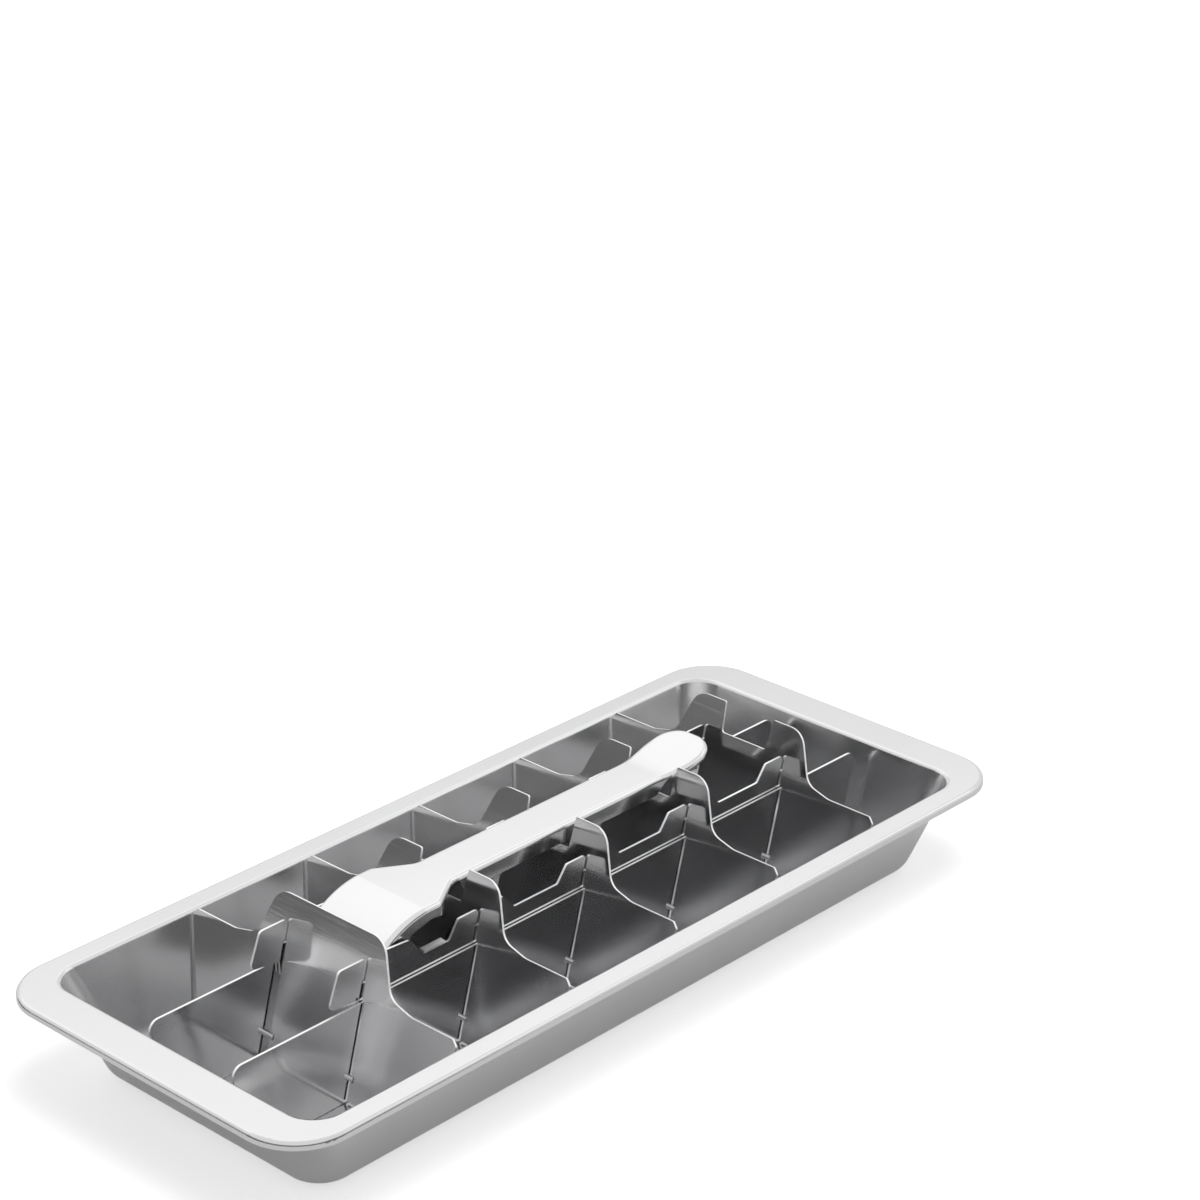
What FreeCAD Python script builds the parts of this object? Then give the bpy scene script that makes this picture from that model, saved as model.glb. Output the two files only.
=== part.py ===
"""Lever ice cube tray: a pressed tray with a lift-out grid whose lever tilts the cross dividers."""
import FreeCAD, Part
import math
import os

from FreeCAD import Vector

# Frame: X runs along the tray with the lever's tip towards +X, Z is up,
# and the origin is the centre of the tray's underside. Lengths are millimetres.

# Tray
opening_length = 254.6
opening_width = 103.4
opening_corner_radius = 9.0
end_flange = 12.7
side_flange = 7.3
rim_corner_radius = 17.0
floor_corner_radius = 12.0
rim_top = 28.8
rim_edge_depth = 2.2
rim_edge_radius = 1.3
opening_edge_radius = 1.2
tray_sheet = 0.8
wall_slope = 17.0
floor_edge_radius = 8.0

# Grid sheets
grid_sheet = 0.7
floor_gap = 0.3

# Rails: the fixed lengthwise plates
rail_offset = 16.15
rail_drop = 1.0
rail_left_gap = 4.1
rail_right_gap = 4.7
rail_corner_radius = 3.0
rail_foot_height = 9.0
rail_foot_run = 8.0
rail_foot_radius = 7.0

# Cross dividers: heights are those of the divider while it stands upright
divider_count = 5
divider_pitch = 41.4
divider_middle = -0.3
hinge_height = 7.5
rest_lean = 15.5
raised_lean = 8.0
divider_foot = 1.25
divider_foot_radius = 8.0
wing_side_gap = 1.1
wing_rise = 2.1
wing_chamfer_width = 1.6
wing_chamfer_height = 1.7
wing_corner_radius = 0.6
horn_rise = 16.2
horn_shoulder = 20.0
horn_shoulder_radius = 6.0
horn_root = 25.6
horn_root_rise = 1.9
horn_root_radius = 5.5
horn_toe = 33.8
horn_toe_radius = 8.0
notch_half_width = 9.1
notch_depth = 9.3
notch_draft = 0.6
notch_floor_radius = 1.0
notch_edge_radius = 0.6
slot_side_gap = 0.6
rail_headroom = 1.2
bar_headroom = 1.4

# Slide bars: places along the bar count from the divider that they belong to
bar_offset = 15.15
bar_lap = 3.8
bar_tab_rise = 9.6
bar_step = 4.7
bar_end_rise = 2.0
bar_drive_drop = 0.5
bar_slot_gap = 0.5
bar_tab_foot = 12.1
bar_tab_top = 8.4
bar_rise_top = 8.3
bar_rise_foot = 12.6
bar_tongue_reach = 9.0
bar_tongue_lean = 4.0
bar_tongue_foot_rise = 1.5
bar_notch_start = 23.2
bar_notch_start_drop = 1.0
bar_notch_left = 28.6
bar_notch_right = 37.8
bar_notch_drop = 0.4
bar_last_reach = 2.2
bar_end_radius = 1.5
bar_step_radius = 0.8
bar_slot_radius = 0.9
lip_reach = 1.9
lip_rise = 0.3

# Lever: places along it count from its pivot, or back from its tip where the name says so
lever_sheet = 0.9
lever_rise = 16.0
lever_turn = 40.5
lever_pivot_reach = 13.85
lever_pivot_drop = 6.4
lever_length = 137.9
lever_arm_half_width = 7.25
lever_side_gap = 0.9
lever_base_back = 2.6
lever_base_drop = 10.4
lever_base_lip = 1.5
lever_dish_reach = 3.9
lever_dish_drop = 4.5
lever_level_reach = 17.4
lever_shoulder_reach = 22.9
lever_shoulder_radius = 3.0
lever_neck_reach = 33.4
lever_neck_radius = 5.0
lever_flare_from_tip = 23.4
lever_flare_radius = 30.0
lever_paddle_from_tip = 11.0
lever_paddle_half_width = 9.4
lever_paddle_radius = 25.0
lever_tip_half_width = 8.8
lever_tip_radius = 7.6
lever_tip_rise = 4.0
lever_bend_from_tip = 22.5
lever_edge_radius = 1.4
lever_edge_depth = 0.4
skirt_depth = 5.3
skirt_start_reach = 38.4
skirt_end_from_tip = 20.1
skirt_start_slant = 2.0
skirt_end_slant = 4.0
skirt_corner_radius = 1.5
paddle_edge_rise = 3.4
ear_foot_depth = 3.2
ear_foot_half_width = 3.6
ear_foot_radius = 3.0
ear_waist_reach = 5.4
ear_waist_rise = 1.5
ear_bend_reach = 11.4
ear_bend_drop = 5.4
ear_swell_reach = 19.4
ear_swell_drop = 3.5
ear_heel_reach = 25.4
ear_heel_drop = 4.5
ear_heel_slant = 0.4
ear_corner_radius = 0.6
ear_bend_radius = 4.0

# Pins
pivot_pin_radius = 1.0
drive_pin_radius = 0.8
hinge_pin_radius = 0.8
pin_running_gap = 0.06
drive_slot_gap = 0.15
pin_head_radius = 1.9
pin_head_height = 0.6
pin_head_chamfer = 0.3
hinge_pin_overhang = 1.5
hinge_pin_end_gap = 0.2

# Sizes that follow from the ones above
slope = math.tan(math.radians(wall_slope))
rest_slope = math.tan(math.radians(rest_lean))
raised_slope = math.tan(math.radians(raised_lean))
rim_length = opening_length + 2 * end_flange
rim_width = opening_width + 2 * side_flange
rail_top = rim_top - rail_drop
rail_inside = rail_offset - grid_sheet / 2
rail_outside = rail_offset + grid_sheet / 2
bar_inside = bar_offset - grid_sheet / 2
bar_outside = bar_offset + grid_sheet / 2
first_divider = divider_middle - divider_pitch * (divider_count - 1) / 2
wing_half_width = opening_width / 2 - wing_side_gap
wing_top = rim_top + wing_rise
horn_top = wing_top + horn_rise
rail_slot_top = rail_top + rail_headroom
bar_bottom = rail_top - bar_lap
bar_high_top = rail_top + bar_tab_rise
bar_low_top = bar_high_top - bar_step
bar_end_top = bar_high_top + bar_end_rise
bar_slot_top = bar_low_top + bar_headroom
bar_slot_half = grid_sheet / 2 / math.cos(math.radians(rest_lean)) + bar_slot_gap
bar_travel = (bar_high_top - bar_drive_drop - hinge_height) * (rest_slope - raised_slope)
lever_top = rail_top + lever_rise
lever_pivot_x = first_divider + lever_pivot_reach
lever_pivot_z = rail_top - lever_pivot_drop
lever_base_x = lever_pivot_x - lever_base_back
lever_tip_x = lever_pivot_x + lever_length
lever_base_half_width = bar_inside - lever_side_gap
ear_inside = lever_base_half_width - lever_sheet
half_turn = math.radians(lever_turn / 2)
drive_pin_reach = bar_travel / 2 / math.sin(half_turn)
drive_pin_x = lever_pivot_x + drive_pin_reach * math.sin(half_turn)
drive_pin_z = lever_pivot_z + drive_pin_reach * math.cos(half_turn)


def corner_arc(before, corner, after, radius):
    """Start, middle and end of the arc that rounds one corner."""
    back = (before - corner).normalize()
    ahead = (after - corner).normalize()
    half_angle = back.getAngle(ahead) / 2
    reach = radius / math.tan(half_angle)
    inward = (back + ahead).normalize()
    middle = corner + inward * (radius / math.sin(half_angle) - radius)
    return corner + back * reach, middle, corner + ahead * reach


def outline(corners):
    """Closed wire through (point, corner radius) pairs; a radius of 0 keeps the corner sharp."""
    edges = []
    ends = []
    for index, (point, radius) in enumerate(corners):
        before = corners[index - 1][0]
        after = corners[(index + 1) % len(corners)][0]
        if radius:
            ends.append(corner_arc(before, point, after, radius))
        else:
            ends.append((point, None, point))
    for index, (start, middle, end) in enumerate(ends):
        if middle:
            edges.append(Part.Arc(start, middle, end).toShape())
        following = ends[(index + 1) % len(ends)][0]
        edges.append(Part.makeLine(end, following))
    return Part.Wire(edges)


def side_sheet(corners, y_from, y_to):
    """A flat sheet that stands along the tray, from (x, z, corner radius) and two Y values."""
    points = [(Vector(x, y_from, z), radius) for x, z, radius in corners]
    return Part.Face(outline(points)).extrude(Vector(0, y_to - y_from, 0))


def both_sides(shape):
    """The shape and its mirror image across the tray's middle plane."""
    return shape, shape.mirror(Vector(0, 0, 0), Vector(0, 1, 0))


def cross_pin(x, z, radius, y_from, y_to):
    """Round pin, or the cutter for its hole, across the tray."""
    return Part.makeCylinder(radius, y_to - y_from, Vector(x, y_from, z), Vector(0, 1, 0))


def rounded_rectangle(length, width, radius, z):
    """Closed wire of a rectangle with round corners, centred on the Z axis."""
    x = length / 2
    y = width / 2
    corners = [Vector(-x, -y, z), Vector(x, -y, z), Vector(x, y, z), Vector(-x, y, z)]
    return outline([(corner, radius) for corner in corners])


def edges_at_height(shape, z):
    """Edges that lie wholly at one height."""
    found = []
    for edge in shape.Edges:
        box = edge.BoundBox
        if abs(box.ZMin - z) < 1e-4 and abs(box.ZMax - z) < 1e-4:
            found.append(edge)
    return found


def pan(inset):
    """Tapered body with a rounded floor edge, drawn in by an inset on every side."""
    drop = (rim_top - inset) * slope * 2
    wall_inset = 2 * inset / math.cos(math.radians(wall_slope))
    length = opening_length + 2 * tray_sheet - wall_inset
    width = opening_width + 2 * tray_sheet - wall_inset
    top = rounded_rectangle(length, width, opening_corner_radius + tray_sheet - inset, rim_top)
    floor = rounded_rectangle(length - drop, width - drop, floor_corner_radius - inset, inset)
    body = Part.makeLoft([floor, top], True)
    return body.makeFillet(floor_edge_radius - inset, edges_at_height(body, inset))


def rim_block(inset):
    """Rim outline as a block with a rounded upper edge, drawn in by an inset."""
    radius = rim_corner_radius - inset
    bottom = rim_top - rim_edge_depth
    base = rounded_rectangle(rim_length - 2 * inset, rim_width - 2 * inset, radius, bottom)
    block = Part.Face(base).extrude(Vector(0, 0, rim_edge_depth - inset))
    return block.makeFillet(rim_edge_radius - inset, edges_at_height(block, rim_top - inset))


def make_tray():
    """Pressed tray: tapered walls, flat rim and a turned-down edge in one sheet."""
    rim = rim_block(0).cut(rim_block(tray_sheet))
    shell = pan(0).fuse(rim).removeSplitter()
    tray = shell.cut(pan(tray_sheet)).removeSplitter()
    half_length = opening_length / 2 + end_flange / 4
    half_width = opening_width / 2 + side_flange / 4
    mouth = []
    for edge in edges_at_height(tray, rim_top):
        if edge.BoundBox.XMax < half_length and edge.BoundBox.XMin > -half_length:
            if edge.BoundBox.YMax < half_width and edge.BoundBox.YMin > -half_width:
                mouth.append(edge)
    return tray.makeFillet(opening_edge_radius, mouth)


def divider_x(index):
    """X of one divider's hinge."""
    return first_divider + index * divider_pitch


def divider_at(index, z, lean_slope):
    """X of a divider's middle plane at a height."""
    return divider_x(index) + (z - hinge_height) * lean_slope


def rail_outline():
    """Side outline of one fixed rail."""
    foot = tray_sheet + floor_gap
    foot_inset = (rail_top - rail_foot_height) * slope
    left = rail_left_gap - opening_length / 2
    right = opening_length / 2 - rail_right_gap
    return [
        (left, rail_top, rail_corner_radius),
        (left + foot_inset, rail_foot_height, rail_foot_radius),
        (left + foot_inset + rail_foot_run, foot, 0),
        (right - foot_inset - rail_foot_run, foot, 0),
        (right - foot_inset, rail_foot_height, rail_foot_radius),
        (right, rail_top, rail_corner_radius),
    ]


def make_rail():
    """Far-side rail with its pin holes."""
    rail = side_sheet(rail_outline(), rail_inside, rail_outside)
    holes = [(divider_x(index), hinge_height, hinge_pin_radius) for index in range(divider_count)]
    holes.append((lever_pivot_x, lever_pivot_z, pivot_pin_radius))
    for x, z, radius in holes:
        rail = rail.cut(cross_pin(x, z, radius, rail_inside, rail_outside))
    return rail


def bar_slot(index, top):
    """Corners of the leaning slot that takes one divider, left lip first."""
    left_floor = divider_at(index, bar_low_top, rest_slope) - bar_slot_half
    right_floor = divider_at(index, bar_low_top, raised_slope) + bar_travel + bar_slot_half
    middle = divider_at(index, top, rest_slope)
    return [
        (middle - bar_slot_half, top, bar_slot_radius),
        (left_floor, bar_low_top, 0),
        (right_floor, bar_low_top, 0),
        (middle + bar_slot_half, top, bar_slot_radius),
    ]


def bar_outline():
    """Side outline of one slide bar, from its left tongue to the last divider."""
    tongue = divider_at(0, bar_high_top, rest_slope) - bar_slot_half - bar_tongue_reach
    tongue_heel = divider_at(0, rail_top, rest_slope) - bar_slot_half
    notch_floor = bar_low_top - bar_notch_drop
    points = [
        (tongue_heel, bar_bottom, 0),
        (tongue_heel, rail_top, 0),
        (tongue - bar_tongue_lean, rail_top + bar_tongue_foot_rise, bar_end_radius),
        (tongue, bar_end_top, bar_end_radius),
    ]
    points += bar_slot(0, bar_end_top)
    points += [
        (first_divider + bar_notch_start, bar_end_top - bar_notch_start_drop, bar_step_radius),
        (first_divider + bar_notch_left, notch_floor, bar_step_radius),
        (first_divider + bar_notch_right, notch_floor, bar_step_radius),
    ]
    for index in range(1, divider_count):
        middle = divider_at(index, bar_high_top, rest_slope)
        if index > 1:
            points.append((middle - bar_tab_foot, bar_low_top, bar_step_radius))
        points.append((middle - bar_tab_top, bar_high_top, bar_step_radius))
        points += bar_slot(index, bar_high_top)
        if index < divider_count - 1:
            points.append((middle + bar_rise_top, bar_high_top, bar_step_radius))
            points.append((middle + bar_rise_foot, bar_low_top, bar_step_radius))
    end = divider_at(divider_count - 1, bar_high_top, rest_slope) + bar_slot_half + bar_last_reach
    points.append((end, bar_high_top, bar_slot_radius))
    points.append((end, bar_bottom, bar_end_radius))
    return points


def make_lip():
    """Far-side lip, folded inwards and up from the floor of the bar's deep notch."""
    left = first_divider + bar_notch_left + bar_step_radius
    right = first_divider + bar_notch_right - bar_step_radius
    root = Vector(left, bar_inside, bar_low_top - bar_notch_drop)
    across = Vector(0, -lip_reach, lip_rise)
    down = Vector(0, 0, -grid_sheet)
    profile = Part.makePolygon([root, root + across, root + across + down, root + down, root])
    return Part.Face(profile).extrude(Vector(right - left, 0, 0))


def make_slide_bar():
    """Far-side slide bar with its drive slot and the folded lip in its deep notch."""
    bar = side_sheet(bar_outline(), bar_inside, bar_outside)
    slot_half = drive_pin_radius + drive_slot_gap
    slot_top = lever_pivot_z + drive_pin_reach
    slot_corner = Vector(drive_pin_x - slot_half, bar_inside, bar_bottom)
    slot = Part.makeBox(2 * slot_half, grid_sheet, slot_top - bar_bottom, slot_corner)
    slot = slot.fuse(cross_pin(drive_pin_x, slot_top, slot_half, bar_inside, bar_outside))
    return bar.cut(slot).fuse(make_lip()).removeSplitter()


def divider_outline(notched):
    """Front outline of a divider, (y, height, corner radius) from the middle outwards."""
    corner_height = wing_top - wing_chamfer_height
    foot = wing_half_width - (corner_height - divider_foot) * slope
    half = [
        (horn_shoulder, horn_top, horn_shoulder_radius),
        (horn_root, wing_top + horn_root_rise, horn_root_radius),
        (horn_toe, wing_top, horn_toe_radius),
        (wing_half_width - wing_chamfer_width, wing_top, wing_corner_radius),
        (wing_half_width, corner_height, wing_corner_radius),
        (foot, divider_foot, divider_foot_radius),
    ]
    if notched:
        half = [
            (notch_half_width - notch_draft, horn_top - notch_depth, notch_floor_radius),
            (notch_half_width, horn_top, notch_edge_radius),
        ] + half
    left = [(-y, height, radius) for y, height, radius in half]
    return half + left[::-1]


def divider_cutter(y_from, y_to, bottom, top):
    """Far-side box cutter through a divider that stands upright."""
    corner = Vector(-grid_sheet, y_from, bottom)
    return Part.makeBox(2 * grid_sheet, y_to - y_from, top - bottom, corner)


def make_divider(index):
    """One cross divider, built upright and then leant to its rest angle."""
    corners = [(Vector(-grid_sheet / 2, y, z), r) for y, z, r in divider_outline(index > 0)]
    divider = Part.Face(outline(corners)).extrude(Vector(grid_sheet, 0, 0))
    slot_start = bar_inside - slot_side_gap
    slot = divider_cutter(slot_start, rail_outside + slot_side_gap, 0, rail_slot_top)
    slot = slot.fuse(divider_cutter(slot_start, bar_outside + slot_side_gap, 0, bar_slot_top))
    pin_half = hinge_pin_radius + pin_running_gap
    pin_start = slot_start - hinge_pin_overhang
    pin_end = rail_outside + hinge_pin_overhang + hinge_pin_end_gap
    bearing = divider_cutter(pin_start, pin_end, hinge_height - pin_half, hinge_height + pin_half)
    for cutter in both_sides(slot.fuse(bearing)):
        divider = divider.cut(cutter)
    divider.rotate(Vector(0, 0, hinge_height), Vector(0, 1, 0), rest_lean)
    divider.translate(Vector(divider_x(index), 0, 0))
    return divider


def lever_plan(inset):
    """Plan outline of the lever as (x, y, corner radius), near side then far side."""
    base = lever_base_half_width - inset
    arm = lever_arm_half_width - inset
    near = [
        (lever_base_x - lever_base_back, -base, 0),
        (lever_pivot_x + lever_shoulder_reach - inset, -base, lever_shoulder_radius),
        (lever_pivot_x + lever_neck_reach, -arm, lever_neck_radius),
        (lever_tip_x - lever_flare_from_tip, -arm, lever_flare_radius),
        (lever_tip_x - lever_paddle_from_tip, inset - lever_paddle_half_width, lever_paddle_radius),
        (lever_tip_x - inset, inset - lever_tip_half_width, lever_tip_radius - inset),
    ]
    far = [(x, -y, radius) for x, y, radius in near]
    return near + far[::-1]


def lever_body(inset):
    """Solid under the lever's top surface, drawn in by an inset."""
    corners = [(Vector(x, y, 0), radius) for x, y, radius in lever_plan(inset)]
    column = Part.Face(outline(corners)).extrude(Vector(0, 0, 2 * lever_top))
    top = lever_top - inset
    start = Vector(lever_base_x, 0, top - lever_base_drop)
    dish = Vector(lever_pivot_x + lever_dish_reach, 0, top - lever_dish_drop)
    level = Vector(lever_pivot_x + lever_level_reach, 0, top)
    bend = Vector(lever_tip_x - lever_bend_from_tip, 0, top)
    bend_radius = (lever_bend_from_tip ** 2 + lever_tip_rise ** 2) / (2 * lever_tip_rise)
    bend_angle = math.asin(lever_bend_from_tip / bend_radius)
    middle = Vector(math.sin(bend_angle / 2), 0, 1 - math.cos(bend_angle / 2)) * bend_radius
    tip = Vector(lever_bend_from_tip, 0, lever_tip_rise)
    ear_back = Vector(lever_base_x - lever_base_back, 0, 0)
    edges = [
        Part.Arc(start, dish, level).toShape(),
        Part.makeLine(level, bend),
        Part.Arc(bend, bend + middle, bend + tip).toShape(),
        Part.makeLine(bend + tip, Vector(lever_tip_x, 0, 0)),
        Part.makeLine(Vector(lever_tip_x, 0, 0), ear_back),
        Part.makeLine(ear_back, start),
    ]
    width = 4 * lever_base_half_width
    under = Part.Face(Part.Wire(edges)).extrude(Vector(0, width, 0))
    under.translate(Vector(0, -width / 2, 0))
    return column.common(under).removeSplitter()


def fold_edges(body):
    """Edges where the lever's top surface meets its sides and its tip."""
    found = []
    for edge in body.Edges:
        middle = edge.valueAt((edge.FirstParameter + edge.LastParameter) / 2)
        lifts = []
        for face in body.ancestorsOfType(edge, Part.Face):
            u, v = face.Surface.parameter(middle)
            lifts.append(abs(face.normalAt(u, v).z))
        meets_side = min(lifts) < 0.1 and max(lifts) > 0.2
        if meets_side and middle.z > lever_pivot_z and middle.x > lever_base_x + lever_sheet:
            found.append(edge)
    return found


def lever_side():
    """Side outline of what is left of the folded sheet: ears, skirts and top."""
    above = lever_top + 2 * lever_tip_rise
    under = lever_top - lever_sheet - lever_edge_depth
    skirt = lever_top - skirt_depth
    skirt_start = lever_pivot_x + skirt_start_reach
    skirt_end = lever_tip_x - skirt_end_from_tip
    heel = lever_pivot_x + ear_heel_reach
    ear_foot = lever_pivot_z - ear_foot_depth
    base_bottom = lever_top - lever_base_drop - lever_base_lip
    return [
        (lever_base_x, above, 0),
        (lever_base_x, base_bottom, ear_corner_radius),
        (lever_pivot_x - ear_foot_half_width, ear_foot, ear_foot_radius),
        (lever_pivot_x + ear_foot_half_width, ear_foot, ear_foot_radius),
        (lever_pivot_x + ear_waist_reach, drive_pin_z + ear_waist_rise, ear_bend_radius),
        (lever_pivot_x + ear_bend_reach, lever_top - ear_bend_drop, ear_bend_radius),
        (lever_pivot_x + ear_swell_reach, lever_top - ear_swell_drop, ear_bend_radius),
        (heel - ear_heel_slant, lever_top - ear_heel_drop, ear_corner_radius),
        (heel, under, 0),
        (skirt_start - skirt_start_slant, under, ear_corner_radius),
        (skirt_start, skirt, skirt_corner_radius),
        (skirt_end - skirt_end_slant, skirt, skirt_corner_radius),
        (skirt_end, under, skirt_corner_radius),
        (lever_tip_x - lever_paddle_from_tip, under, 0),
        (lever_tip_x + lever_sheet, under + paddle_edge_rise, 0),
        (lever_tip_x + lever_sheet, above, 0),
    ]


def make_lever():
    """Lever folded from one sheet: shield base with two ears, skirted arm and bent-up paddle."""
    body = lever_body(0)
    body = body.makeFillet(lever_edge_radius, fold_edges(body))
    shell = body.cut(lever_body(lever_sheet))
    width = lever_base_half_width + lever_sheet
    lever = shell.common(side_sheet(lever_side(), -width, width))
    pivot_hole = pivot_pin_radius + pin_running_gap
    for hole in both_sides(cross_pin(lever_pivot_x, lever_pivot_z, pivot_hole, ear_inside, width)):
        lever = lever.cut(hole)
    for hole in both_sides(cross_pin(drive_pin_x, drive_pin_z, drive_pin_radius, ear_inside, width)):
        lever = lever.cut(hole)
    return lever.removeSplitter()


def make_pivot_pin():
    """Far-side pin that carries the lever: flush in the rail, headed inside the ear."""
    head_end = ear_inside - pin_running_gap
    head_start = head_end - pin_head_height
    shank = cross_pin(lever_pivot_x, lever_pivot_z, pivot_pin_radius, head_end, rail_outside)
    head = cross_pin(lever_pivot_x, lever_pivot_z, pin_head_radius, head_start, head_end)
    face_edges = [edge for edge in head.Edges if edge.BoundBox.YMax < head_start + pin_head_chamfer]
    return shank.fuse(head.makeChamfer(pin_head_chamfer, face_edges)).removeSplitter()


def make_drive_pin():
    """Far-side pin fixed in the lever's ear; it pushes the slide bar."""
    return cross_pin(drive_pin_x, drive_pin_z, drive_pin_radius, ear_inside, bar_outside)


def make_hinge_pin(index):
    """Far-side pin in the rail on which one divider turns."""
    start = bar_inside - slot_side_gap - hinge_pin_overhang + hinge_pin_end_gap
    end = rail_outside + hinge_pin_overhang
    return cross_pin(divider_x(index), hinge_height, hinge_pin_radius, start, end)


def write(name, shape):
    """Save one piece under its node name."""
    shape.exportStep("parts/" + name + ".step")


os.makedirs("parts", exist_ok=True)
write("tray", make_tray())
far_rail, near_rail = both_sides(make_rail())
write("rail_near", near_rail)
write("rail_far", far_rail)
far_bar, near_bar = both_sides(make_slide_bar())
write("slide_bar_near", near_bar)
write("slide_bar_far", far_bar)
for number in range(divider_count):
    write("cross_divider_" + str(number + 1), make_divider(number))
write("lever", make_lever())
write("pivot_pins", Part.makeCompound(both_sides(make_pivot_pin())))
write("drive_pins", Part.makeCompound(both_sides(make_drive_pin())))
hinge_pins = []
for number in range(divider_count):
    hinge_pins += both_sides(make_hinge_pin(number))
write("divider_pins", Part.makeCompound(hinge_pins))
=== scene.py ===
"""Lever ice cube tray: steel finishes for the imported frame, and a plain white studio around it."""

import math

import bpy
from bpy.props import FloatProperty, FloatVectorProperty, PointerProperty
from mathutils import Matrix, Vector


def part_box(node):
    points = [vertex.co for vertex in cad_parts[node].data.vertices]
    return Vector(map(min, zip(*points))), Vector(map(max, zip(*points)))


bl_info = {
    "name": "Lever Ice Cube Tray",
    "version": (1, 0, 0),
    "blender": (4, 5, 0),
    "location": "3D View > Sidebar > Ice Tray",
    "description": "Finishes the steel of an ice cube tray with a lever grid and sets it in a white studio",
    "category": "Object",
}

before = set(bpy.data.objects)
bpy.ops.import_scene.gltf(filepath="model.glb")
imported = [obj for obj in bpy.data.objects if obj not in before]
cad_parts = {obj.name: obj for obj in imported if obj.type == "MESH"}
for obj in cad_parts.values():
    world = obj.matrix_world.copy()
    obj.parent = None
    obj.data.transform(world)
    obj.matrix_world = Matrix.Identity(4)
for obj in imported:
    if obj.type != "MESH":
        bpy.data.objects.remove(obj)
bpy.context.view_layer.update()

# Pieces and sizes of the frame
TRAY_LOW, TRAY_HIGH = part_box("tray")
TRAY_LENGTH = TRAY_HIGH.x - TRAY_LOW.x
RIM_HEIGHT = TRAY_HIGH.z - TRAY_LOW.z
RAIL_LOW, RAIL_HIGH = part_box("rail_far")
DIVIDERS = sorted(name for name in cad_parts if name.startswith("cross_divider"))
PLATES = ["rail_near", "rail_far", "slide_bar_near", "slide_bar_far"]
PINS = ["pivot_pins", "drive_pins", "divider_pins"]

# Steel: directions of the grain and its marks; noise scales are per metre
ACROSS = (0.0, 1.0, 0.0)
UPWARDS = (0.0, 0.0, 1.0)
LENGTHWISE_GRAIN = (0.06, 1.0, 1.0)
CROSSWISE_GRAIN = (1.0, 0.06, 1.0)
TURNED_GRAIN = (1.0, 0.2, 1.0)
EVEN_GRAIN = (1.0, 1.0, 1.0)
LINE_SCALE = 2600.0
LINE_DETAIL = 3.0
SCRATCH_SCALE = 700.0
SCRATCH_DETAIL = 4.0
CLOUD_SCALE = 26.0
CLOUD_DETAIL = 3.0
SCRATCH_STOPS = [(0.58, 0.0), (0.72, 1.0)]
CLOUD_GLOSS = 0.06
LINE_GLOSS = 0.05
SCRATCH_GLOSS = 0.03
CLOUD_TINT = 0.93
LINE_HEIGHT = 0.7
SCRATCH_HEIGHT = 0.3
BRUSHING_DEPTH = 0.00003

# Cut edges and slots of the grid's sheets: a painted highlight in the cut edges' pale colour, painted shade
# in the slots' dark colour
REST_LEAN = math.radians(15.5)
FACE_LIMIT = 0.75
PAINTED_EDGE_HIGHLIGHT = (0.93, 0.93, 0.93, 1.0)
CUT_ROUGHNESS = 0.5
PAINTED_SLOT_SHADE = (0.12, 0.12, 0.12, 1.0)
SLOT_FACE_LIMIT = 0.9
SLOT_INNER_REACH = 0.0023
SLOT_OUTER_REACH = 0.001
SLOT_BAND = (RAIL_LOW.y - SLOT_INNER_REACH, RAIL_HIGH.y + SLOT_OUTER_REACH)

# Studio: distances and sizes in metres, levels where 1 is white
WHITE = (1.0, 1.0, 1.0, 1.0)
WINDOW_DISTANCE = 1.7
WINDOW_SIZE = (2.2, 1.0)
SIDE_HEADING = math.radians(112.0)
SIDE_HEIGHT = math.radians(42.0)
SIDE_DISTANCE = 1.6
SIDE_SIZE = (0.9, 0.6)
SHADE_HEADING = math.radians(150.0)
SHADE_HEIGHT = math.radians(80.0)
SHADE_DISTANCE = 1.6
SHADE_SIZE = (0.9, 0.9)
SCREEN_STEPS = 48
SCREEN_LEVELS = (0.13, 0.25)
CARD_ENDS = [(-0.42, 0.02), (-0.16, 0.36)]
CARD_LEVELS = (0.14, 0.19)
SENSOR_WIDTH = 36.0
GLOSSY_BOUNCES = 12
ALL_BOUNCES = 16

# Places of a Mix node's colour sockets; it gives each kind of value sockets of the same names
MIX_FACTOR, MIX_FIRST, MIX_SECOND, MIX_RESULT = 0, 6, 7, 2


class Value:
    """A socket of a finish that Python's own operators can work on."""

    def __init__(self, finish, socket):
        self.finish = finish
        self.socket = socket

    def maths(self, operation, *operands, clamp=False):
        settings = {"operation": operation, "use_clamp": clamp}
        return self.finish.node("ShaderNodeMath", settings, dict(enumerate(operands)))

    def __add__(self, other):
        return self.maths("ADD", self, other)

    def __radd__(self, other):
        return self.maths("ADD", other, self)

    def __sub__(self, other):
        return self.maths("SUBTRACT", self, other)

    def __rsub__(self, other):
        return self.maths("SUBTRACT", other, self)

    def __mul__(self, other):
        return self.maths("MULTIPLY", self, other)

    def __rmul__(self, other):
        return self.maths("MULTIPLY", other, self)

    def __abs__(self):
        return self.maths("ABSOLUTE", self)

    def over(self, threshold):
        return self.maths("GREATER_THAN", self, threshold)

    def clamped(self):
        return self.maths("ADD", self, 0.0, clamp=True)


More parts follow.
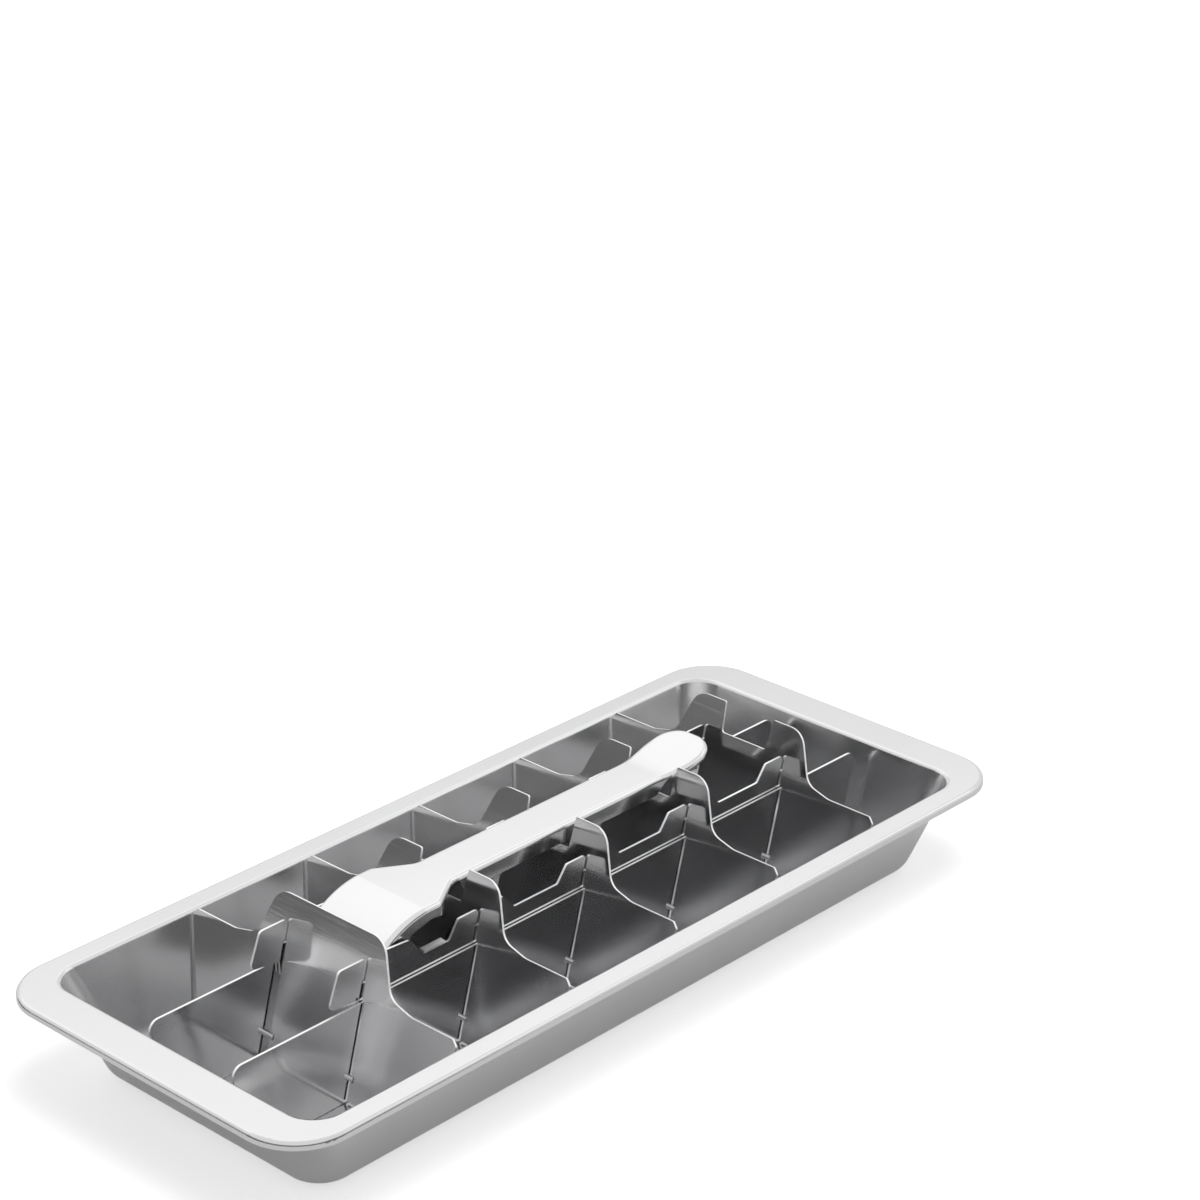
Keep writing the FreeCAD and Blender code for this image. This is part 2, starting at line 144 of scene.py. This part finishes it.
class Finish:
    """The nodes of one material, or of the world around the object."""

    def __init__(self, owner):
        self.owner = owner
        owner.use_nodes = True
        self.tree = owner.node_tree
        self.tree.nodes.clear()

    def node(self, kind, settings, sockets, output=0):
        """Make a node, apply its settings, fill its sockets and return one output, if it has any.

        Sockets and the output go by name, or by place where a node uses one name more than once.
        """
        made = self.tree.nodes.new(kind)
        for key, setting in settings.items():
            if key == "stops":
                self.set_stops(made.color_ramp, setting)
            else:
                setattr(made, key, setting)
        for key, value in sockets.items():
            self.fill(made.inputs[key], value)
        return Value(self, made.outputs[output]) if made.outputs else None

    def set_stops(self, ramp, stops):
        """Give a ramp its (place, grey level) stops."""
        while len(ramp.elements) < len(stops):
            ramp.elements.new(1.0)
        for element, (place, level) in zip(ramp.elements, stops):
            element.position = place
            element.color = (level, level, level, 1.0)

    def fill(self, socket, value):
        """Link a Value to an input, or set a plain number, colour or vector there."""
        if isinstance(value, Value):
            self.tree.links.new(value.socket, socket)
        else:
            socket.default_value = value

    def noise(self, place, scale, stretch, detail):
        """Noise over the object's own coordinates, drawn out along an axis by its stretch."""
        drawn = self.node("ShaderNodeMapping", {}, {"Vector": place, "Scale": stretch})
        sockets = {"Vector": drawn, "Scale": scale, "Detail": detail}
        return self.node("ShaderNodeTexNoise", {"normalize": True}, sockets)

    def along(self, vector, direction):
        """How far a vector points along a direction."""
        settings = {"operation": "DOT_PRODUCT"}
        return self.node("ShaderNodeVectorMath", settings, {0: vector, 1: direction}, "Value")

    def mix(self, factor, first, second):
        """Colour between two colours."""
        sockets = {MIX_FACTOR: factor, MIX_FIRST: first, MIX_SECOND: second}
        return self.node("ShaderNodeMix", {"data_type": "RGBA"}, sockets, MIX_RESULT)

    def blend(self, factor, first, second):
        """Shader between two shaders."""
        return self.node("ShaderNodeMixShader", {}, {0: factor, 1: first, 2: second})

    def output(self, kind, name):
        """One named output of a node that needs no settings."""
        return self.node(kind, {}, {}, name)

    def end(self, surface, kind="ShaderNodeOutputMaterial"):
        """Send a surface shader to the output, and return the material or the world."""
        self.node(kind, {}, {"Surface": surface})
        return self.owner


def colour(values):
    """A colour property as the four numbers that a socket takes."""
    return (values[0], values[1], values[2], 1.0)


def brushed_steel(name, tint, roughness, brushing, grain=LENGTHWISE_GRAIN, face=None, slots=None):
    """Satin steel: fine lines of brushing, soft handling marks and cloudy changes of gloss.

    A face is the direction that a flat sheet looks in. Its cut edges turn away from that
    direction; they are rougher than the rolled faces and are given a paler colour, a painted
    highlight. The edges of the slots between two distances from the tray's middle plane are
    given a dark colour, painted shade.
    """
    steel = Finish(bpy.data.materials.new(name))
    place = steel.output("ShaderNodeTexCoord", "Object")
    lines = steel.noise(place, LINE_SCALE, grain, LINE_DETAIL)
    scratches = steel.noise(place, SCRATCH_SCALE, grain, SCRATCH_DETAIL)
    clouds = steel.noise(place, CLOUD_SCALE, EVEN_GRAIN, CLOUD_DETAIL)
    marks = steel.node("ShaderNodeValToRGB", {"stops": SCRATCH_STOPS}, {"Fac": scratches})
    gloss = roughness + (clouds - 0.5) * CLOUD_GLOSS + (lines - 0.5) * LINE_GLOSS
    gloss = gloss + marks * SCRATCH_GLOSS
    deep = colour([channel * CLOUD_TINT for channel in tint])
    bright = colour(tint)
    shade = steel.mix(clouds.clamped(), deep, bright)
    if face:
        facing = steel.output("ShaderNodeTexCoord", "Normal")
        cut = 1.0 - abs(steel.along(facing, face)).over(FACE_LIMIT)
        # painted highlight: the cut edges take a pale colour
        shade = steel.mix(cut, shade, PAINTED_EDGE_HIGHLIGHT)
        if slots:
            side = abs(steel.along(place, ACROSS))
            inside = side.over(slots[0]) * (1.0 - side.over(slots[1]))
            upright = abs(steel.along(facing, ACROSS)).over(SLOT_FACE_LIMIT)
            # painted shade: the upright slot edges between the two distances take a dark colour
            shade = steel.mix(inside * upright, shade, PAINTED_SLOT_SHADE)
        gloss = gloss + cut * (CUT_ROUGHNESS - roughness)
    height = lines * LINE_HEIGHT + marks * SCRATCH_HEIGHT
    sockets = {"Strength": brushing, "Distance": BRUSHING_DEPTH, "Height": height}
    bump = steel.node("ShaderNodeBump", {}, sockets)
    sockets = {"Base Color": shade, "Metallic": 1.0, "Roughness": gloss.clamped(), "Normal": bump}
    return steel.end(steel.node("ShaderNodeBsdfPrincipled", {"distribution": "MULTI_GGX"}, sockets))


def dress(names, material):
    """Give CAD nodes one material in their own slots."""
    for name in names:
        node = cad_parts[name]
        node.data.materials.clear()
        node.data.materials.append(material)


class SteelSettings(bpy.types.PropertyGroup):
    """Colours and gloss of the steel pieces."""

    tray_colour: FloatVectorProperty(
        name="Tray colour", description="Colour of the pressed tray", subtype="COLOR", size=3,
        min=0.0, max=1.0, default=(0.68, 0.68, 0.685))
    tray_roughness: FloatProperty(
        name="Tray roughness", description="Roughness of the pressed tray", subtype="FACTOR",
        min=0.0, max=1.0, default=0.20)
    grid_colour: FloatVectorProperty(
        name="Grid colour", description="Colour of the rails, slide bars and dividers", subtype="COLOR",
        size=3, min=0.0, max=1.0, default=(0.69, 0.69, 0.695))
    grid_roughness: FloatProperty(
        name="Grid roughness", description="Roughness of the grid's sheets", subtype="FACTOR",
        min=0.0, max=1.0, default=0.11)
    lever_colour: FloatVectorProperty(
        name="Lever colour", description="Colour of the lever", subtype="COLOR", size=3,
        min=0.0, max=1.0, default=(0.73, 0.73, 0.735))
    lever_roughness: FloatProperty(
        name="Lever roughness", description="Roughness of the polished lever", subtype="FACTOR",
        min=0.0, max=1.0, default=0.20)
    pin_colour: FloatVectorProperty(
        name="Pin colour", description="Colour of the turned pins", subtype="COLOR", size=3,
        min=0.0, max=1.0, default=(0.70, 0.70, 0.71))
    pin_roughness: FloatProperty(
        name="Pin roughness", description="Roughness of the turned pins", subtype="FACTOR",
        min=0.0, max=1.0, default=0.28)
    brushing: FloatProperty(
        name="Brushing", description="Depth of the brushed lines", subtype="FACTOR",
        min=0.0, max=1.0, default=0.25)


class StudioSettings(bpy.types.PropertyGroup):
    """The floor, the surround, the lamps, the screens and the camera."""

    floor_size: FloatProperty(
        name="Floor size", description="Side of the square floor", unit="LENGTH",
        min=1.0, default=30.0 * TRAY_LENGTH)
    floor_colour: FloatVectorProperty(
        name="Floor colour", description="Colour of the floor", subtype="COLOR", size=3,
        min=0.0, max=1.0, default=(0.90, 0.90, 0.90))
    floor_glow: FloatProperty(
        name="Floor glow", description="White that the floor keeps in shadow", subtype="FACTOR",
        min=0.0, max=1.0, default=0.55)
    floor_in_steel: FloatProperty(
        name="Floor in steel", description="Share of that white that the steel reflects", subtype="FACTOR",
        min=0.0, max=1.0, default=0.22)
    surround: FloatProperty(
        name="Surround", description="Brightness of the surround as light on the floor",
        min=0.0, default=0.42)
    window_power: FloatProperty(
        name="Window power", description="Power of the broad lamp beyond the tray", unit="POWER",
        min=0.0, default=2.5)
    side_power: FloatProperty(
        name="Side power", description="Power of the small lamp beyond the tray's right end", unit="POWER",
        min=0.0, default=0.7)
    shade_power: FloatProperty(
        name="Shade power", description="Power of the lamp that casts the tray's shadow", unit="POWER",
        min=0.0, default=9.0)
    window_heading: FloatProperty(
        name="Window heading", description="Where the broad lamp stands, from +Y towards +X",
        subtype="ANGLE", default=math.radians(24.0))
    window_height: FloatProperty(
        name="Window height", description="How high the broad lamp stands", subtype="ANGLE",
        default=math.radians(47.0))
    screen_distance: FloatProperty(
        name="Screen distance", description="Distance from the tray to the grey screens around it",
        unit="LENGTH", min=0.5, default=1.3)
    screen_height: FloatProperty(
        name="Screen height", description="Height of the grey screens", unit="LENGTH",
        min=0.1, default=0.58)
    card_height: FloatProperty(
        name="Card height", description="Height of the low grey card beyond the tray's left end",
        unit="LENGTH", min=0.0, default=0.05)
    screen_opening: FloatProperty(
        name="Screen opening", description="Angle left open beyond the tray", subtype="ANGLE",
        default=math.radians(200.0))
    camera_place: FloatVectorProperty(
        name="Camera place", description="Where the camera stands", subtype="XYZ", unit="LENGTH", size=3,
        default=(-0.5985, -0.5912, 0.4883))
    camera_heading: FloatProperty(
        name="Camera heading", description="Turn of the view from +Y towards +X", subtype="ANGLE",
        default=math.radians(46.71))
    camera_drop: FloatProperty(
        name="Camera drop", description="How far the view looks down", subtype="ANGLE",
        default=math.radians(24.14))
    camera_lens: FloatProperty(
        name="Camera lens", description="Focal length of the camera", unit="CAMERA",
        min=1.0, default=103.8)


class ICETRAY_OT_tray(bpy.types.Operator):
    """Finish the pressed tray in satin steel"""

    bl_idname = "icetray.tray"
    bl_label = "Tray"

    def execute(self, context):
        steel = context.scene.icetray_steel
        finish = brushed_steel("tray_steel", steel.tray_colour, steel.tray_roughness, steel.brushing)
        dress(["tray"], finish)
        return {"FINISHED"}


class ICETRAY_OT_plates(bpy.types.Operator):
    """Finish the rails and the slide bars in rolled steel"""

    bl_idname = "icetray.plates"
    bl_label = "Rails and Slide Bars"

    def execute(self, context):
        steel = context.scene.icetray_steel
        finish = brushed_steel(
            "rail_steel", steel.grid_colour, steel.grid_roughness, steel.brushing, face=ACROSS)
        dress(PLATES, finish)
        return {"FINISHED"}


class ICETRAY_OT_dividers(bpy.types.Operator):
    """Finish the cross dividers in rolled steel, its grain running across the tray"""

    bl_idname = "icetray.dividers"
    bl_label = "Cross Dividers"

    def execute(self, context):
        steel = context.scene.icetray_steel
        finish = brushed_steel(
            "divider_steel", steel.grid_colour, steel.grid_roughness, steel.brushing, CROSSWISE_GRAIN,
            (math.cos(REST_LEAN), 0.0, -math.sin(REST_LEAN)), SLOT_BAND)
        dress(DIVIDERS, finish)
        return {"FINISHED"}


class ICETRAY_OT_lever(bpy.types.Operator):
    """Finish the folded lever in polished steel"""

    bl_idname = "icetray.lever"
    bl_label = "Lever"

    def execute(self, context):
        steel = context.scene.icetray_steel
        finish = brushed_steel("lever_steel", steel.lever_colour, steel.lever_roughness, steel.brushing)
        dress(["lever"], finish)
        return {"FINISHED"}


class ICETRAY_OT_pins(bpy.types.Operator):
    """Finish the pivot, drive and divider pins in turned steel"""

    bl_idname = "icetray.pins"
    bl_label = "Pins"

    def execute(self, context):
        steel = context.scene.icetray_steel
        finish = brushed_steel(
            "pin_steel", steel.pin_colour, steel.pin_roughness, steel.brushing, TURNED_GRAIN)
        dress(PINS, finish)
        return {"FINISHED"}


def seen(finish, in_steel=1.0):
    """1 for rays from the camera, the level given for reflections and clear surfaces, else 0."""
    camera = finish.output("ShaderNodeLightPath", "Is Camera Ray")
    glossy = finish.output("ShaderNodeLightPath", "Is Glossy Ray")
    clear = finish.output("ShaderNodeLightPath", "Is Transmission Ray")
    return (camera + (glossy + clear) * in_steel).clamped()


def glow(finish, level, kind="ShaderNodeEmission"):
    """Plain white light of one strength."""
    return finish.node(kind, {}, {"Color": WHITE, "Strength": level})


def around(heading, height, distance):
    """Place at a heading from +Y towards +X, a height above the floor and a distance."""
    level = math.cos(height) * distance
    return math.sin(heading) * level, math.cos(heading) * level, math.sin(height) * distance


def area_lamp(name, place, size, power):
    """A soft rectangular lamp that looks at the middle of the tray."""
    lamp = bpy.data.lights.new(name, "AREA")
    lamp.shape = "RECTANGLE"
    lamp.size, lamp.size_y = size
    lamp.energy = power
    stand = bpy.data.objects.new(name, lamp)
    stand.location = place
    view = Vector((0.0, 0.0, RIM_HEIGHT / 2)) - Vector(place)
    stand.rotation_euler = view.to_track_quat("-Z", "Y").to_euler()
    bpy.context.scene.collection.objects.link(stand)
    return stand


def studio_mesh(name, corners, faces, material):
    """Mesh that stands around the tray and isn't part of it."""
    mesh = bpy.data.meshes.new(name)
    mesh.from_pydata(corners, [], faces)
    mesh.materials.append(material)
    made = bpy.data.objects.new(name, mesh)
    bpy.context.scene.collection.objects.link(made)
    return made


def screen_cloth(name, levels, height):
    """Grey cloth whose brightness runs from its foot to its head."""
    foot, head = levels
    cloth = Finish(bpy.data.materials.new(name))
    place = cloth.output("ShaderNodeTexCoord", "Object")
    rise = (cloth.along(place, UPWARDS) * (1.0 / height)).clamped()
    return cloth.end(cloth.blend(rise, glow(cloth, foot), glow(cloth, head)))


def screen(name, feet, height, cloth):
    """Upright cloth over a row of feet on the floor; only reflections show it."""
    corners = [(x, y, z) for x, y in feet for z in (0.0, height)]
    faces = [(foot, foot + 2, foot + 3, foot + 1) for foot in range(0, len(corners) - 2, 2)]
    made = studio_mesh(name, corners, faces, cloth)
    made.visible_camera = False
    made.visible_shadow = False
    made.visible_diffuse = False
    return made


class ICETRAY_OT_studio(bpy.types.Operator):
    """Set out the white floor, the soft lamps, the surround and the camera"""

    bl_idname = "icetray.studio"
    bl_label = "Studio"

    def execute(self, context):
        studio = context.scene.icetray_studio
        self.make_floor(studio)
        self.make_surround(context, studio)
        self.make_screens(studio)
        self.make_lamps(studio)
        self.make_camera(context, studio)
        self.set_light(context)
        return {"FINISHED"}

    def make_floor(self, studio):
        """Square floor under the tray, as white as the surround where no shadow falls."""
        half = studio.floor_size / 2
        corners = [(-half, -half, 0.0), (half, -half, 0.0), (half, half, 0.0), (-half, half, 0.0)]
        paint = Finish(bpy.data.materials.new("floor_paint"))
        matt = paint.node("ShaderNodeBsdfDiffuse", {}, {"Color": colour(studio.floor_colour)})
        shown = seen(paint, studio.floor_in_steel)
        white = paint.blend(shown, glow(paint, 0.0), glow(paint, studio.floor_glow))
        both = paint.node("ShaderNodeAddShader", {}, {0: matt, 1: white})
        floor = studio_mesh("floor", corners, [(0, 1, 2, 3)], paint.end(both))

    def make_surround(self, context, studio):
        """White to the eye and to reflections, and softer as light on the floor."""
        world = bpy.data.worlds.new("surround")
        context.scene.world = world
        white = Finish(world)
        dim = glow(white, studio.surround, "ShaderNodeBackground")
        full = glow(white, 1.0, "ShaderNodeBackground")
        white.end(white.blend(seen(white), dim, full), "ShaderNodeOutputWorld")

    def make_screens(self, studio):
        """Grey screens around the tray, open beyond it, and a low card at its left end."""
        start = math.pi / 2 - studio.camera_heading + studio.screen_opening / 2
        sweep = 2 * math.pi - studio.screen_opening
        feet = []
        for step in range(SCREEN_STEPS + 1):
            turn = start + sweep * step / SCREEN_STEPS
            x = math.cos(turn) * studio.screen_distance
            y = math.sin(turn) * studio.screen_distance
            feet.append((x, y))
        cloth = screen_cloth("screen_cloth", SCREEN_LEVELS, studio.screen_height)
        screens = screen("screens", feet, studio.screen_height, cloth)
        cloth = screen_cloth("card_cloth", CARD_LEVELS, studio.card_height)
        card = screen("low_card", CARD_ENDS, studio.card_height, cloth)

    def make_lamps(self, studio):
        """Two lamps that only light the steel, and a high one that only lights the floor."""
        window = around(studio.window_heading, studio.window_height, WINDOW_DISTANCE)
        side = around(SIDE_HEADING, SIDE_HEIGHT, SIDE_DISTANCE)
        shade = around(SHADE_HEADING, SHADE_HEIGHT, SHADE_DISTANCE)
        for_steel = [
            area_lamp("window_lamp", window, WINDOW_SIZE, studio.window_power),
            area_lamp("side_lamp", side, SIDE_SIZE, studio.side_power),
        ]
        for lamp in for_steel:
            lamp.visible_diffuse = False
        for_floor = area_lamp("shade_lamp", shade, SHADE_SIZE, studio.shade_power)
        for_floor.visible_glossy = False

    def make_camera(self, context, studio):
        """Camera at the photograph's viewing angle."""
        lens = bpy.data.cameras.new("camera")
        lens.sensor_width = SENSOR_WIDTH
        lens.lens = studio.camera_lens
        camera = bpy.data.objects.new("camera", lens)
        camera.location = studio.camera_place
        level = math.cos(studio.camera_drop)
        view = Vector((
            math.sin(studio.camera_heading) * level,
            math.cos(studio.camera_heading) * level,
            -math.sin(studio.camera_drop)))
        camera.rotation_euler = view.to_track_quat("-Z", "Y").to_euler()
        context.scene.collection.objects.link(camera)
        context.scene.camera = camera

    def set_light(self, context):
        """Plain colours, and reflections enough to light the deep cells between facing sheets."""
        context.scene.view_settings.view_transform = "Standard"
        context.scene.cycles.max_bounces = ALL_BOUNCES
        context.scene.cycles.glossy_bounces = GLOSSY_BOUNCES


STEPS = (
    ICETRAY_OT_tray,
    ICETRAY_OT_plates,
    ICETRAY_OT_dividers,
    ICETRAY_OT_lever,
    ICETRAY_OT_pins,
    ICETRAY_OT_studio,
)


class ICETRAY_PT_panel(bpy.types.Panel):
    """The tray's pieces and its studio"""

    bl_idname = "ICETRAY_PT_panel"
    bl_label = "Lever Ice Cube Tray"
    bl_space_type = "VIEW_3D"
    bl_region_type = "UI"
    bl_category = "Ice Tray"

    def draw(self, context):
        column = self.layout.column(align=True)
        for step in STEPS:
            column.operator(step.bl_idname)
        for settings in (context.scene.icetray_steel, context.scene.icetray_studio):
            box = self.layout.box()
            for key in settings.__annotations__:
                box.prop(settings, key)


CLASSES = (SteelSettings, StudioSettings) + STEPS + (ICETRAY_PT_panel,)


def register():
    """Add the classes and their settings to Blender."""
    for entry in CLASSES:
        bpy.utils.register_class(entry)
    bpy.types.Scene.icetray_steel = PointerProperty(type=SteelSettings)
    bpy.types.Scene.icetray_studio = PointerProperty(type=StudioSettings)


def unregister():
    """Take the classes and their settings out again."""
    del bpy.types.Scene.icetray_studio
    del bpy.types.Scene.icetray_steel
    for entry in reversed(CLASSES):
        bpy.utils.unregister_class(entry)


def main():
    """Make every piece in order."""
    register()
    bpy.ops.icetray.tray()
    bpy.ops.icetray.plates()
    bpy.ops.icetray.dividers()
    bpy.ops.icetray.lever()
    bpy.ops.icetray.pins()
    bpy.ops.icetray.studio()


if __name__ == "__main__":
    main()
